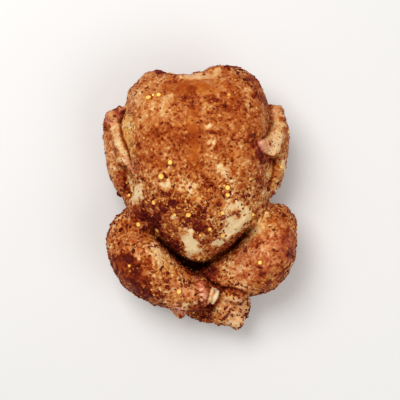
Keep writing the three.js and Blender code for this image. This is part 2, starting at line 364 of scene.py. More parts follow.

# How the rub lies on the skin, as paints on the surface; a few patches are painted highlights and painted
# shade. Each patch is a place on the plan, its half length and half width in millimetres, its turn in
# degrees, and how strong it is, from 0 to 1.
bare_and_glint_patches = [  # where the rub has come off and cream skin shows, and a few painted highlights
    # at the neck end
    (-27.4, 84.5, 5, 3.5, 0, 0.4), (13.3, 107.2, 4, 3.5, 60, 0.6), (-45.5, 94, 7, 5, 40, 0.12),
    (-2.4, 103.6, 13, 2.8, 4, 0.5), (-54.4, 88, 6.5, 5, 60, 0.35), (39.6, 92, 5, 2.5, -20, 0.35),
    # on the breast
    (-35.4, 71.5, 11.5, 6.5, -68, 0.42), (18.4, 24, 5.4, 4, -15, 0.8), (-27.4, 13, 5, 4, 0, 0.9),
    (-8.9, 14.6, 8.5, 8.5, 0, 0.32), (31.4, -8.6, 7.4, 8, 30, 0.74), (31, -17.4, 14, 8, 42, 1),
    (24, -25.4, 8.5, 5.2, 48, 1), (15, -35, 6, 3.6, 40, 0.8), (-8.3, -37.4, 13, 6, -69, 1),
    (-2, -47, 7, 4.5, 20, 0.5), (23.4, -5.6, 5.4, 8.6, -12, 0.72), (-43, 78, 22, 17, 0, 0.16),
    (35, -15, 16, 14, 45, 0.2), (-36, 68, 4.4, 4, 0, 0.56), (14.6, 3, 4, 4, 0, 0.3),
    # the six small patches from (7.9, 62.7) to (10.2, 44.6) are painted highlights: wet glints on the breast,
    # painted as clean cream skin
    (-21.4, -30.4, 4, 3.4, 0, 0.42), (31.4, 41, 4.6, 4, 0, 0.26), (7.9, 62.7, 2.4, 1.4, 30, 1),
    (7.3, 54.3, 1.7, 1.2, 0, 1), (9.2, 51.6, 2.2, 1.1, 70, 1), (11.2, 48.6, 2.6, 1.1, 80, 1),
    (8, 47.5, 1.3, 1, 0, 1), (10.2, 44.6, 2, 1.1, 80, 1), (44.6, 12.2, 5, 3.6, 20, 0.5),
    (35.5, 32, 5, 4, 0, 0.2), (-41.9, -8.5, 3, 2.5, 0, 0.7), (-21.5, -13.8, 1.8, 1.6, 0, 0.9),
    (-34.5, -17.6, 1.6, 1.3, 0, 0.8), (-44.8, -18.4, 2, 1.4, 40, 0.7), (-30, -21.8, 1.4, 1.2, 0, 0.7),
    (-0.4, 0.5, 2.5, 2.5, 0, 0.4), (7.1, 8, 3.5, 2.5, 0, 0.35), (43.1, 77.5, 9, 6, 70, 0.24),
    # on the wings and beside them
    (-52.4, 6.5, 10, 4.5, 72, 0.85), (-77.5, 44, 17, 6, 86, 0.34), (-71.5, 20, 17, 6, -72, 0.32),
    (71.4, 26, 9, 2.4, -75, 0.75), (-61.2, 60, 17, 4.6, -84, 0.48), (-59.4, 16, 8, 1.5, -76, 0.6),
    (-68.4, 34, 3, 2.4, 0, 0.5), (57, 20.5, 9, 4, 80, 0.25), (50, 2, 15, 11, 40, 0.12),
    (56.2, 3.4, 5, 7.4, 10, 0.42), (-64.6, 76.6, 3.4, 3.4, 0, 0.6), (61.4, 11.6, 4, 5.6, 0, 0.42),
    (-75, 72, 3.5, 3, 20, 0.6), (-72.5, 66, 6, 4, 20, 0.4), (64.6, 73, 6, 6, 0, 0.6),
    (65.6, 62, 8, 6, 90, 0.66), (62.1, 50, 9.5, 8, 40, 0.7), (59.6, 43, 9, 6, 0, 0.66),
    (52.6, 47.5, 5, 4, 0, 0.8), (-71.9, 62, 6, 5, 80, 0.55), (-70.4, 53.5, 7, 5, 80, 0.5),
    (-67.4, 48, 4, 3, 0, 0.75), (-65, 42, 8, 3, -62, 0.8), (-61.4, 33, 6, 2.6, -62, 0.8),
    (64.1, 6.5, 6, 3.5, 80, 0.55),
    # on the -X leg
    (-37.4, -42.5, 5, 3.4, -30, 0.62), (-28.9, -52.5, 13.5, 8.5, -40, 0.36), (-14.9, -81, 14, 7.5, -12, 0.24),
    (-24, -87, 7, 4, -15, 0.42), (-12.4, -89.4, 6, 3.4, 12, 0.66), (-45, -46, 20, 14, -45, 0.12),
    (-56.9, -36.5, 6.5, 3.5, 20, 0.25),
    # on the +X leg
    (48.5, -21, 12, 5.5, 58, 0.75), (54.8, -41, 5.2, 4.6, 0, 0.62), (25.6, -57.5, 13, 7, 25, 0.5),
    (48, -45, 20, 14, 50, 0.2), (73, -53, 5, 4, -60, 0.42), (45, -73, 6, 4, 20, 0.42),
    (50, -31.4, 5, 4.6, 0, 0.36), (43.1, -46, 9, 6, 20, 0.4), (60, -27, 7, 8, 0, 0.2),
    (40.1, -70.4, 8, 4.4, -5, 0.42),
    # on the hocks and the tail
    (25, -92, 16, 13, -20, 0.62), (22, -83, 5, 2.4, -30, 0.6), (38.5, -90, 10.5, 2.8, -74, 0.75),
    (2.8, -77.5, 11, 4.4, -73, 0.5), (29.2, -101, 7, 8, 15, 0.44), (11, -97, 5, 2, -10, 0.5),
    (-19.4, -94, 6, 4.5, -20, 0.5), (30.5, -95.5, 4.5, 3, -30, 0.55), (39.6, -84.5, 7.5, 3, -70, 0.4),
    (21, -83.8, 3.4, 2.6, 0, 0.8), (33, -83.5, 3, 2, 0, 0.5), (18.6, -93, 3.5, 2.5, 0, 0.45),
]
deep_and_shade_patches = [  # where dark paprika paste and chilli lie thick, and some patches of painted shade
    # at the neck end
    (8.6, 85.5, 5, 2.5, 0, 0.6), (19.6, 88.5, 3.5, 2.5, 0, 0.6), (-5.9, 84, 14, 7, 90, 0.44),
    (-2.9, 96, 20, 6, 0, 0.18), (35.1, 84, 20, 14, 80, 0.22), (-34, 108, 3, 3, 0, 1),
    (52.6, 86, 6.5, 2.5, -60, 0.6), (44.1, 102, 5, 3.5, -45, 0.5), (-55.9, 96.5, 6.5, 3.5, 45, 0.3),
    # on the breast
    (-41.9, -13, 12, 8.5, -30, 0.72), (-39.9, -22, 6, 4, -30, 0.9), (-24.9, -3.5, 6, 3.5, 0, 0.9),
    (-28.9, 6.5, 6.5, 3.5, -10, 0.7), (-2.4, -17, 8.5, 4, -68, 0.62), (-21.4, -36.5, 8.5, 5, -42, 0.8),
    (-14.4, -27.5, 2, 2, 0, 0.8), (-32, 45, 28, 20, -20, 0.12), (-14.8, 71, 7, 6, 0, 0.42),
    (15.4, 72, 7, 6, 0, 0.36), (38.6, 25.4, 4.6, 4, 0, 0.3), (25.8, 22.6, 3.6, 4, 0, 0.34),
    (-37, 25, 5, 4.6, 0, 0.32), (36.4, 13.6, 4, 5, 0, 0.3), (-32, -8, 4, 4, 0, 0.7),
    # painted shade: the dark hollows between the wet glints of the breast
    (8.7, 51.8, 1.6, 0.9, 0, 0.9), (7.9, 45.9, 1.4, 0.9, 0, 0.9), (9.6, 56.8, 2.4, 0.9, 0, 0.9),
    # (44.1, 50) is painted shade beside the +X wing's hand
    (44.1, 50, 6.5, 4, -80, 0.5), (-28.9, 60, 6.5, 5, -30, 0.45), (-41, 53, 5, 4, 0, 0.2),
    (25.8, -12.4, 2, 1.6, 0, 0.7), (-5.9, 50, 30, 9, 90, 0.19), (29.2, -10, 2.4, 2, 30, 0.9),
    (32.4, -13.4, 2.4, 1.8, 40, 0.8), (18.1, -3, 3.5, 2.5, 0, 0.8), (6.1, 10.5, 10, 6.5, 90, 0.3),
    (-27, -32, 12, 5, -45, 0.35), (-41, -13, 20, 12, -20, 0.35), (-36, -16, 5, 3.4, -20, 1),
    (-46, -15, 4, 3, 20, 1), (-33, -24.6, 3.6, 2.4, -30, 0.8),
    # on the wings and beside them
    # (52.6, 36) is rub and a painted shadow under the +X hand's pink tip; (63.1, 29) is painted shade in the
    # crease inside that wing's forearm
    (52.6, 36, 7.5, 4, -15, 0.9), (63.1, 29, 5, 2.6, 90, 0.3), (-69, 79, 5, 1.4, -10, 0.7),
    (68, 68.3, 2, 1.8, 0, 0.9), (-74.7, 53.4, 2, 2.2, 0, 0.5), (-79.5, 60.8, 1.6, 1.6, 0, 0.9),
    # (-65.4, 16.5) is painted shade on the inner side of the -X wing's forearm
    (49.1, 20.5, 10, 4, 80, 0.35), (-65.4, 16.5, 12, 3.5, -75, 0.7), (-73.4, 75.5, 6, 4, 20, 0.4),
    # on the -X leg
    (-60.4, -57.5, 15, 10, -58, 0.8), (-49.9, -71.5, 13, 8, -42, 0.76), (-43.4, -50, 4.6, 4, 0, 0.36),
    (-60, -30, 14, 12, 0, 0.3), (-47, -24, 4, 2.6, 0, 1),
    # on the +X leg
    # (73.6, -37) is painted shade along the +X leg's outer edge, where it turns away from the light
    (73.6, -37, 13, 6, -85, 0.52), (54, -44, 32, 24, 56, 0.16), (62.4, -37.4, 5.6, 7, 0, 0.52),
    (31.6, -51.4, 5.6, 4, 20, 0.52), (46.4, -37, 7, 3, 20, 0.7), (36, -27.5, 9, 2.6, 42, 0.75),
    # (11.5, -60) and (5.6, -61) are painted shade in the gap between the legs
    (11.5, -60, 6, 4, -20, 0.6), (5.6, -61, 6.5, 3.5, -30, 0.7), (24, -39, 10, 3, 36, 0.32),
    # on the hocks and the tail
    # (-2.4, -95) is the dark flap of skin under the legs, darkened further by painted shade
    (0, -71, 4.6, 4.4, 0, 0.52), (-2.4, -95, 8.5, 5, -25, 0.42), (21.3, -90.2, 1.9, 1.9, 0, 1),
    (32.7, -87.3, 1.6, 1.6, 0, 1), (28, -87, 4.5, 1.6, -37, 0.8), (28, -77.5, 9, 2.8, -8, 0.3),
    (20.5, -76, 4, 2, -10, 0.6), (34, -78, 3, 2, -15, 0.5), (15.4, -83.5, 2.4, 2, 0, 0.7),
    (24, -95, 3, 1.5, -30, 0.7), (16, -96, 2.4, 1.8, 0, 0.8), (9.6, -89, 3.6, 3, -30, 1),
    (28, -91, 2, 1.6, 40, 0.6), (36.5, -94, 1.8, 1.4, 0, 0.6), (11.5, -98, 3, 1.6, -10, 0.5),
    (29.8, -79.4, 1.8, 1.6, 0, 1), (20, -99.5, 2.2, 1.5, 20, 0.7), (31, -92.5, 1.8, 1.3, 0, 0.7),
    (-3, -62, 7, 3, -20, 0.6),
]
golden_patches = [  # where only the oily film of the rub is left, gold to orange
    # at the neck end
    (-2.9, 94.5, 18.5, 6, 0, 0.8),
    # on the breast
    (-6.4, 53.5, 22, 4, -88, 0.85), (43.1, -13, 9, 2.5, -80, 0.8), (-26.4, -0.5, 6.5, 2, -5, 0.8),
    (-6, 4, 15, 10, 0, 0.4),
    # on the wings and beside them
    (-61.4, 60, 18, 4.6, -84, 0.95), (-59, 15, 9, 1.8, -76, 0.7), (69.1, 25, 10, 3.5, -75, 0.7),
    (64, 20, 20, 6, -80, 0.5),
    # on the -X leg
    (-45.9, -30.5, 8.5, 4, -40, 0.6), (-33.4, -52.5, 15, 9.5, -40, 0.55), (-63, -20, 9, 5, 30, 0.6),
    # on the +X leg
    (52, -24, 15, 9, 60, 0.5),
    # on the hocks and the tail
    (28, -77.5, 10, 3.2, -8, 0.9), (20, -84, 6, 5, 0, 0.7), (16.4, -89.6, 4.4, 3.8, 0, 0.8),
    (25, -90, 15, 13, -20, 0.56),
]
raw_patches = [  # where meat or blood shows pink under thin skin
    # at the neck end
    (-2.4, 104, 13, 3, 4, 0.3),
    # on the breast
    (-41, -13, 22, 12, -20, 0.14),
    # on the wings and beside them
    (51.4, 45.4, 5.5, 4.4, -35, 0.9), (54, 44.5, 8.5, 6, -35, 0.5), (58, 46, 12, 8, 20, 0.18),
    (-60.6, 31, 6.5, 2, -64, 0.75), (-70, 60, 12, 5, 84, 0.14), (-67.6, 75, 4.6, 5, 0, 0.95),
    (-74.4, 71, 6, 4, 20, 0.3), (-76, 65, 4, 3.4, 0, 0.85), (63.1, 73, 5, 5, 0, 0.35),
    (-77, 45, 16, 7, 86, 0.2), (-70, 18, 15, 7, -72, 0.16), (67.5, 24, 15, 6, -78, 0.1),
    # on the -X leg
    (-12.4, -77.5, 15, 7.5, -10, 0.26), (-46, -40, 26, 16, -50, 0.12),
    # on the +X leg
    (9, -61, 9, 5, -20, 0.6), (71.6, -38, 15, 6.5, -85, 0.52), (48, -48, 26, 15, 50, 0.32),
    # on the hocks and the tail
    (2.4, -77.5, 14, 5.4, -73, 0.9), (27, -92, 14, 12, -20, 0.38), (35.6, -85, 9, 3, -72, 0.5),
    (-19.9, -93.5, 7, 5.5, -20, 1), (-2.4, -95, 8, 4.6, -25, 0.3),
]
smooth_patches = [  # where the surface is wiped smooth, with few crumbs
    # at the neck end
    (-2.9, 94.5, 22, 7, 0, 0.9), (-0.4, 104, 16, 4, 4, 0.6),
    # on the breast
    (-43, 78, 22, 17, 0, 0.15), (-41, -13, 13, 9, -30, 0.2), (-6.4, 53.5, 24, 5, -88, 0.7),
    (-7.4, -37.5, 10, 5, -62, 0.6), (31.1, -21, 12, 4.5, 38, 0.5),
    # on the wings and beside them
    (62.6, 50, 14, 9, 60, 0.6), (-64.9, 52, 18, 5, -72, 0.5),
    # on the -X leg
    (-57, -62, 23, 11, -54, 0.6), (-55, -30, 16, 16, 0, 0.15), (-14.9, -79.5, 13.5, 7.5, -12, 0.4),
    # on the +X leg
    (52, -43, 34, 24, 56, 0.2), (72, -38, 18, 8, -85, 0.6),
    # on the hocks and the tail
    (28.1, -104.5, 5, 6.5, 15, 0.4),
]


def wobble(points, size, octaves, offset):
    """A random value about 0 that changes softly over that size, in metres, at each point."""
    shift = Vector((offset, -offset, 0.5 * offset))
    return np.array([noise.fractal(Vector(p) / size + shift, 0.9, 2.0, octaves) for p in points])


patch_edge = 2.2  # a patch fades out over this many millimetres
most_ragged = 2.6  # how far a ragged edge strays, in millimetres; a small patch's strays less


def painted(patches, plan, ragged):
    """How strongly the patches cover each plan point, 0 to 1. The ragged value moves their edges."""
    cover = np.zeros(len(plan))
    for x, y, half_length, half_width, turn, strength in patches:
        angle = math.radians(turn)
        away = plan - np.array((x, y)) * mm
        along = away[:, 0] * math.cos(angle) + away[:, 1] * math.sin(angle)
        across = away[:, 1] * math.cos(angle) - away[:, 0] * math.sin(angle)
        reach = np.hypot(along / (half_length * mm), across / (half_width * mm))
        outside = (reach - 1) * half_width + ragged * min(most_ragged, 0.6 * half_width)
        cover = np.maximum(cover, strength * np.clip(0.5 - outside / patch_edge, 0, 1))
    return cover


# The patches hold for the skin that faces up. On the sides and the back a slow drift of the rub's thickness
# makes the bare and the thick places, and the back, which lay on the board, is rubbed nearly clean.
plan = in_plan(places)
facing_up = between(normals[:, 2], -0.15, 0.15)
ragged = 1.5 * wobble(places, 6 * mm, 3, 3.1)
drift = wobble(places, 17 * mm, 2, 7.7)
side_bare = np.clip(1.6 * drift - 0.25, 0, 0.9)
side_deep = np.clip(-1.6 * drift - 0.3, 0, 0.9)
back = between(places[:, 2], 14 * mm, 4 * mm)
bare = facing_up * painted(bare_and_glint_patches, plan, ragged) + (1 - facing_up) * side_bare + 0.35 * back
deep = facing_up * painted(deep_and_shade_patches, plan, ragged) + (1 - facing_up) * side_deep
usual_coat = 0.452  # where 0 is clean skin and 1 is thick dark paste
near_neck = between(plan[:, 1], 0, 50 * mm)
near_tail = between(plan[:, 1], -30 * mm, -45 * mm)
upper_breast = between(plan[:, 1], 8 * mm, 38 * mm)
wiped_smooth = facing_up * painted(smooth_patches, plan, 0.5 * ragged)
# Painted shade in the open fold: the crease paint is made as dark there as the fold is deep.
fold = between(fold_depth(plan), 0, 9 * mm)
paints = {
    "coat": usual_coat + 0.42 * deep - 0.48 * bare + 0.12 * drift + 0.05 * near_neck + 0.035 * near_tail,
    "golden": facing_up * painted(golden_patches, plan, ragged),
    "raw": facing_up * painted(raw_patches, plan, ragged),
    "smooth": np.maximum(wiped_smooth, 0.75 * bare * bare) + 0.3 * upper_breast,
    "crease": np.maximum(crease, fold * facing_up),
}
for name in paints:
    paints[name] = np.clip(paints[name], 0, 1)
    attribute = skin.data.attributes.new(name, "FLOAT", "POINT")
    attribute.data.foreach_set("value", paints[name].astype(np.float32))


def colour(red, green, blue):
    """A colour given as 0 to 255 values, as the shaders want it."""
    parts = [value / 255 for value in (red, green, blue)]
    return [p / 12.92 if p <= 0.04045 else ((p + 0.055) / 1.055) ** 2.4 for p in parts] + [1]


class Nodes:
    """The nodes of a material or a node group, added and linked by short calls."""

    def __init__(self, tree):
        self.tree = tree

    def plug(self, socket, value):
        """Puts a number, a colour or another node's output on a socket."""
        if isinstance(value, bpy.types.NodeSocket):
            self.tree.links.new(value, socket)
        else:
            socket.default_value = value

    def add(self, kind, inputs=None, **settings):
        """A new node, with what goes on its inputs and its settings."""
        node = self.tree.nodes.new(kind)
        for key, value in settings.items():
            setattr(node, key, value)
        self.put(node, inputs or {})
        return node

    def put(self, node, inputs):
        """Puts values on a node's inputs, given by their names."""
        for key, value in inputs.items():
            self.plug(node.inputs[key], value)

    def sum(self, *terms):
        """The sum of values; a pair is a value times a number."""
        total = 0.0
        for term in terms:
            value, share = term if isinstance(term, tuple) else (term, 1.0)
            node = self.add("ShaderNodeMath", operation="MULTIPLY_ADD")
            for socket, given in zip(node.inputs, (value, share, total)):
                self.plug(socket, given)
            total = node.outputs[0]
        return total

    def times(self, first, second):
        """The product of two values."""
        return self.add("ShaderNodeMath", {0: first, 1: second}, operation="MULTIPLY").outputs[0]

    def mix(self, factor, first, second):
        """The first colour where the factor is 0, the second where it is 1."""
        node = self.add("ShaderNodeMix", {0: factor, 6: first, 7: second}, data_type="RGBA")
        return node.outputs[2]

    def between(self, value, low, high):
        """The same as between() does for arrays."""
        node = self.add("ShaderNodeMapRange", {"Value": value, "From Min": low, "From Max": high})
        return node.outputs[0]

    def shades(self, value, stops):
        """A ramp of colours: each stop is its place, red, green and blue."""
        node = self.add("ShaderNodeValToRGB", {"Fac": value})
        ramp = node.color_ramp
        while len(ramp.elements) < len(stops):
            ramp.elements.new(0.5)
        for element, (place, *shade) in zip(ramp.elements, stops):
            element.position = place
            element.color = colour(*shade)
        return node.outputs[0]

    def spots(self, vector, size, smear=0.0):
        """Soft spots about that many millimetres across, as a value about 0. Smear draws them into wisps."""
        inputs = {"Vector": vector, "Scale": 1 / (size * mm), "Roughness": 0.55, "Distortion": smear}
        return self.sum(self.add("ShaderNodeTexNoise", inputs).outputs["Fac"], -0.5)

    def paint(self, name):
        """The value of a paint on the piece."""
        return self.add("ShaderNodeAttribute", attribute_name=name).outputs["Fac"]

    def place(self):
        """Where on the piece a point is."""
        return self.add("ShaderNodeTexCoord").outputs["Object"]

    def relief(self, height, strength, depth):
        """Normals that follow small bumps of that depth in millimetres."""
        inputs = {"Height": height, "Strength": strength, "Distance": depth * mm}
        return self.add("ShaderNodeBump", inputs).outputs["Normal"]


def new_group(name, inputs, outputs):
    """A shader node group with number and vector inputs, and its nodes."""
    group = bpy.data.node_groups.new(name, "ShaderNodeTree")
    for socket, kind in inputs:
        group.interface.new_socket(socket, in_out="INPUT", socket_type=kind)
    for socket in outputs:
        group.interface.new_socket(socket, in_out="OUTPUT", socket_type="NodeSocketFloat")
    nodes = Nodes(group)
    return group, nodes, nodes.add("NodeGroupInput").outputs, nodes.add("NodeGroupOutput").inputs


# Crumbs worked into the film: uneven cells, of which some are dark crumbs and some are light ones.
crumbs_in_film, inner, given, result = new_group(
    "crumbs_in_film", [("Vector", "NodeSocketVector"), ("Scale", "NodeSocketFloat")], ["Dark", "Light"]
)
bends_per_metre = 700.0
bend_reach = (1.6 * mm, 1.6 * mm, 1.6 * mm)
bend = inner.add("ShaderNodeTexNoise", {"Vector": given["Vector"], "Scale": bends_per_metre, "Detail": 1.0})
bent = inner.add("ShaderNodeVectorMath", {0: bend.outputs["Color"], 1: bend_reach}, operation="MULTIPLY")
moved = inner.add("ShaderNodeVectorMath", {0: given["Vector"], 1: bent.outputs[0]}, operation="ADD")
cells = inner.add("ShaderNodeTexVoronoi", {"Vector": moved.outputs[0], "Scale": given["Scale"]})
chance = inner.add("ShaderNodeSeparateColor", {"Color": cells.outputs["Color"]}).outputs[0]
heart = inner.between(cells.outputs["Distance"], 0.55, 0.3)
inner.plug(result["Dark"], inner.times(heart, inner.between(chance, 0.66, 0.8)))
inner.plug(result["Light"], inner.times(heart, inner.between(chance, 0.34, 0.2)))


def new_material(name):
    """A material, its nodes and its surface shader."""
    material = bpy.data.materials.new(name)
    material.use_nodes = True
    return material, Nodes(material.node_tree), material.node_tree.nodes["Principled BSDF"]


rubbed_skin, look, surface = new_material("rubbed_skin")
at = look.add("ShaderNodeMapping", {"Vector": look.place(), "Rotation": (0.6, 0.35, 0.8)}).outputs[0]
elsewhere = look.add("ShaderNodeMapping", {"Vector": at, "Location": (0.3, 0.2, 0.1)}).outputs[0]
per_coarse_crumb = {"Vector": at, "Scale": 1 / (3.3 * mm)}
coarse = look.add("ShaderNodeGroup", per_coarse_crumb, node_tree=crumbs_in_film).outputs
per_small_crumb = {"Vector": at, "Scale": 1 / (2.1 * mm)}
small = look.add("ShaderNodeGroup", per_small_crumb, node_tree=crumbs_in_film).outputs
blotches = look.spots(at, 6, smear=1.2)
specks = look.spots(at, 2.4, smear=0.8)
clouds = look.spots(at, 13)
crumbs = look.sum(
    (coarse["Dark"], 0.26), (coarse["Light"], -0.24), (small["Dark"], 0.15), (small["Light"], -0.15),
    (blotches, 0.9), (specks, 0.52),
)
grip = look.sum((look.paint("smooth"), -0.8), 1.0)  # crumbs stay where the skin isn't wiped
# The crease paint also thickens the film: painted shade in the creases and the open fold, with the paste that
# gathers there.
thickness = look.sum(
    look.paint("coat"), look.times(crumbs, grip), (clouds, 0.5), (look.paint("crease"), 0.5)
)
# What the film looks like at each thickness, from clean skin to dark paste: as the red rub, as the oil that
# is left of it, and over raw meat.
red_rub = look.shades(thickness, [
    (0.0, 229, 202, 156), (0.14, 221, 181, 131), (0.28, 206, 151, 96), (0.4, 190, 120, 65),
    (0.52, 170, 91, 41), (0.64, 149, 64, 23), (0.76, 122, 39, 14), (0.88, 92, 21, 11), (1.0, 56, 9, 9),
])
golden_rub = look.shades(thickness, [
    (0.0, 230, 198, 138), (0.25, 219, 162, 82), (0.42, 202, 125, 48), (0.56, 180, 91, 28), (0.7, 150, 60, 15),
    (1.0, 78, 22, 4),
])
raw_meat = look.shades(thickness, [
    (0.0, 228, 178, 150), (0.25, 216, 136, 108), (0.5, 188, 94, 70), (0.75, 134, 46, 34), (1.0, 74, 18, 16),
])
golden = look.sum((look.paint("golden"), 0.8), (look.spots(at, 6), 1.8), 0.06)
base = look.mix(look.between(golden, 0, 1), red_rub, golden_rub)
raw = look.sum((look.paint("raw"), 0.9), (look.spots(elsewhere, 7), 0.65))
base = look.mix(look.between(raw, 0.04, 1), base, raw_meat)
# Painted shade: creases and the open fold are painted nearly black-red, where shade falls and wet paste
# gathers.
painted_crease_shade = look.times(look.between(look.paint("crease"), 0.4, 1), 0.9)
base = look.mix(painted_crease_shade, base, colour(40, 10, 6))
grit_height = look.sum((crumbs, 0.8), (coarse["Light"], 0.3), (small["Light"], 0.2))
oily_tint = colour(255, 170, 110)  # the paprika's oil tints the light that the rub throws back
look.put(surface, {
    "Base Color": base,
    "Roughness": look.sum((specks, 0.4), (look.paint("smooth"), -0.06), 0.5),
    "Specular IOR Level": 0.1,
    "Specular Tint": oily_tint,
    "Subsurface Weight": 0.05,
    "Subsurface Radius": (1.0, 0.35, 0.15),
    "Subsurface Scale": 1.2 * mm,
    "Normal": look.relief(grit_height, 0.7, 1.0),
})
skin.data.materials.clear()
skin.data.materials.append(rubbed_skin)
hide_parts("chicken")
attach(skin, "root")

# ------------------------------------------------------------------------------
# The joint ends. Smooth white cartilage caps the bones where the feet were cut off: two lobes with a groove
# between them on the upper leg, and a thin rim on the lower one.
lobes = [
    lump((8.6, -79.2, 56), (2.2, 7.6, 4.4), (0, 0, -17)),
    lump((12.9, -79.9, 55), (2.1, 5.8, 4.4), (0, 0, -24)),
    lump((10.6, -84.6, 53), (1.7, 2.2, 3.6)),
    lump((10.6, -79.6, 48.5), (3.8, 6.6, 5), (0, 0, -20)),
    lump((-21.8, -95.6, 30), (1.7, 5.4, 3.4), (0, 0, 36)),
    lump((-17.6, -99.6, 29), (2.4, 1.9, 2.8)),
]
knobs = joined("joint_cartilage", lobes[0], lobes[1:])
fuse(knobs, 0.45 * mm, smoothing=3)
add_bumps(knobs, 3, 0.5, seed=4)
only(knobs)
bpy.ops.object.shade_smooth()
cartilage, look, surface = new_material("joint_cartilage")
at = look.place()
sideways = look.add("ShaderNodeSeparateXYZ", {0: at}).outputs[0]
worn = look.between(sideways, 13 * mm, 8 * mm)  # the lobe at the end of the bone is whiter
stain = look.sum((look.spots(at, 5), 0.9), (look.spots(at, 1.6), 0.9), (worn, 0.3), 0.36)
gristle = [(0.1, 232, 220, 198), (0.4, 228, 202, 160), (0.6, 222, 166, 98), (0.85, 176, 94, 44)]
look.put(surface, {
    "Base Color": look.shades(stain, gristle),
    "Roughness": 0.3,
    "Subsurface Weight": 0.2,
    "Subsurface Radius": (1.0, 0.8, 0.5),
    "Subsurface Scale": 1.5 * mm,
    "Normal": look.relief(look.spots(at, 2), 0.3, 0.5),
})
knobs.data.materials.append(cartilage)
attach(knobs, "root")

# ------------------------------------------------------------------------------
# The ground paprika: red-brown crumbs of dried pepper, ground coarse and worked into the skin with oil, so
# each sits sunk in it. A few uneven grains are modelled, and strewn where the rub is thick and not wiped off.
skin.data.calc_loop_triangles()
triangles = np.empty(len(skin.data.loop_triangles) * 3, np.int32)
skin.data.loop_triangles.foreach_get("vertices", triangles)
triangles = triangles.reshape(-1, 3)
places, normals = read_vertices(skin)
corner_places = places[triangles]
spans = np.cross(corner_places[:, 1] - corner_places[:, 0], corner_places[:, 2] - corner_places[:, 0])
areas = 0.5 * np.linalg.norm(spans, axis=1)


def on_faces(values):
    """The mean of a vertex value on each triangle."""
    return values[triangles].mean(axis=1)


def take_mesh(piece):
    """A modelled grain's vertices and triangles, after which the model itself is put away."""
    only(piece)
    bpy.ops.object.mode_set(mode="EDIT")
    bpy.ops.mesh.select_all(action="SELECT")
    bpy.ops.mesh.quads_convert_to_tris()
    bpy.ops.object.mode_set(mode="OBJECT")
    vertices = read_vertices(piece)[0]
    faces = np.array(sorted(list(face.vertices) for face in piece.data.polygons))  # the same order each run
    bpy.data.objects.remove(piece)
    return vertices, faces


def grains(kinds, seed, jitter, flatness=1.0):
    """Some uneven grains, each an icosphere with its corners pushed about."""
    chance = np.random.default_rng(seed)
    models = []
    for _ in range(kinds):
        bpy.ops.mesh.primitive_ico_sphere_add(subdivisions=1, radius=0.5)
        vertices, faces = take_mesh(bpy.context.object)
        vertices = vertices * (1 + jitter * chance.uniform(-1, 1, (len(vertices), 1)))
        vertices = vertices + 0.25 * jitter * chance.uniform(-1, 1, vertices.shape)
        models.append((vertices * (1, 1, flatness), faces))
    return models


def strewn_mesh(name, models, which, turn, scale, centre, tones):
    """One mesh of many copies of the models, each with its turn, size, place and tone."""
    all_vertices, all_faces, all_tones = [], [], []
    filled = 0
    for index, (vertices, faces) in enumerate(models):
        chosen = which == index
        shaped = vertices[None] * scale[chosen][:, None, :]
        laid = np.einsum("nij,nkj->nki", turn[chosen], shaped) + centre[chosen][:, None, :]
        laid[:, :, 2] = np.maximum(laid[:, :, 2], 0)
        starts = filled + np.arange(int(chosen.sum())) * len(vertices)
        all_faces.append((faces[None] + starts[:, None, None]).reshape(-1, 3))
        all_vertices.append(laid.reshape(-1, 3))
        all_tones.append(np.repeat(tones[chosen], len(vertices)))
        filled += len(starts) * len(vertices)
    mesh = bpy.data.meshes.new(name)
    mesh.from_pydata(np.concatenate(all_vertices).tolist(), [], np.concatenate(all_faces).tolist())
    attribute = mesh.attributes.new("tone", "FLOAT", "POINT")
    attribute.data.foreach_set("value", np.concatenate(all_tones).astype(np.float32))
    piece = bpy.data.objects.new(name, mesh)
    bpy.context.scene.collection.objects.link(piece)
    only(piece)
    bpy.ops.object.shade_smooth()
    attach(piece, "root")
    return piece


def lay_flat(ups, chance):
    """Turns that lay grains flat on skin with these normals, each one facing a random way."""
    ups = ups / np.linalg.norm(ups, axis=1)[:, None]
    aheads = np.cross(ups, chance.normal(0, 1, ups.shape))
    aheads /= np.linalg.norm(aheads, axis=1)[:, None]
    return np.stack([aheads, np.cross(ups, aheads), ups], axis=2)


def strew(name, models, count, density, sizes, seed, pressed=0.65, tilt=0.2, stretch=0.35):
    """Lays grains on the skin, each with a random tone and turn. The density is a share per triangle, the
    sizes are the smallest and largest in millimetres, and a grain is pressed to that share of its height."""
    chance = np.random.default_rng(seed)
    weight = areas * density
    picked = chance.choice(len(areas), size=count, p=weight / weight.sum())
    share = chance.dirichlet((1, 1, 1), count)
    ups = (normals[triangles[picked]] * share[:, :, None]).sum(axis=1) + chance.normal(0, tilt, (count, 3))
    turns = lay_flat(ups, chance)
    size = (sizes[0] + (sizes[1] - sizes[0]) * chance.beta(1.3, 2.6, count)) * mm
    scale = size[:, None] * (1 + stretch * chance.uniform(-1, 1, (count, 3))) * (1, 1, pressed)
    centre = (corner_places[picked] * share[:, :, None]).sum(axis=1) + turns[:, :, 2] * (0.05 * size)[:, None]
    which = chance.integers(0, len(models), count)
    tones = chance.uniform(0, 1, count) * soaked[picked]
    return strewn_mesh(name, models, which, turns, scale, centre, tones)


def grain_look(piece, roughness, stops):
    """Gives one kind of grain its material: a grain's tone picks its colour, and small spots roughen it."""
    material, look, surface = new_material(piece.name)
    speck = look.spots(look.place(), 0.6)
    tone = look.sum((look.paint("tone"), 0.85), (speck, 0.8), 0.08)
    look.put(surface, {
        "Base Color": look.shades(tone, stops),
        "Roughness": roughness,
        "Specular IOR Level": 0.06,
        "Specular Tint": oily_tint,
        "Normal": look.relief(speck, 0.5, 0.3),
    })
    piece.data.materials.append(material)


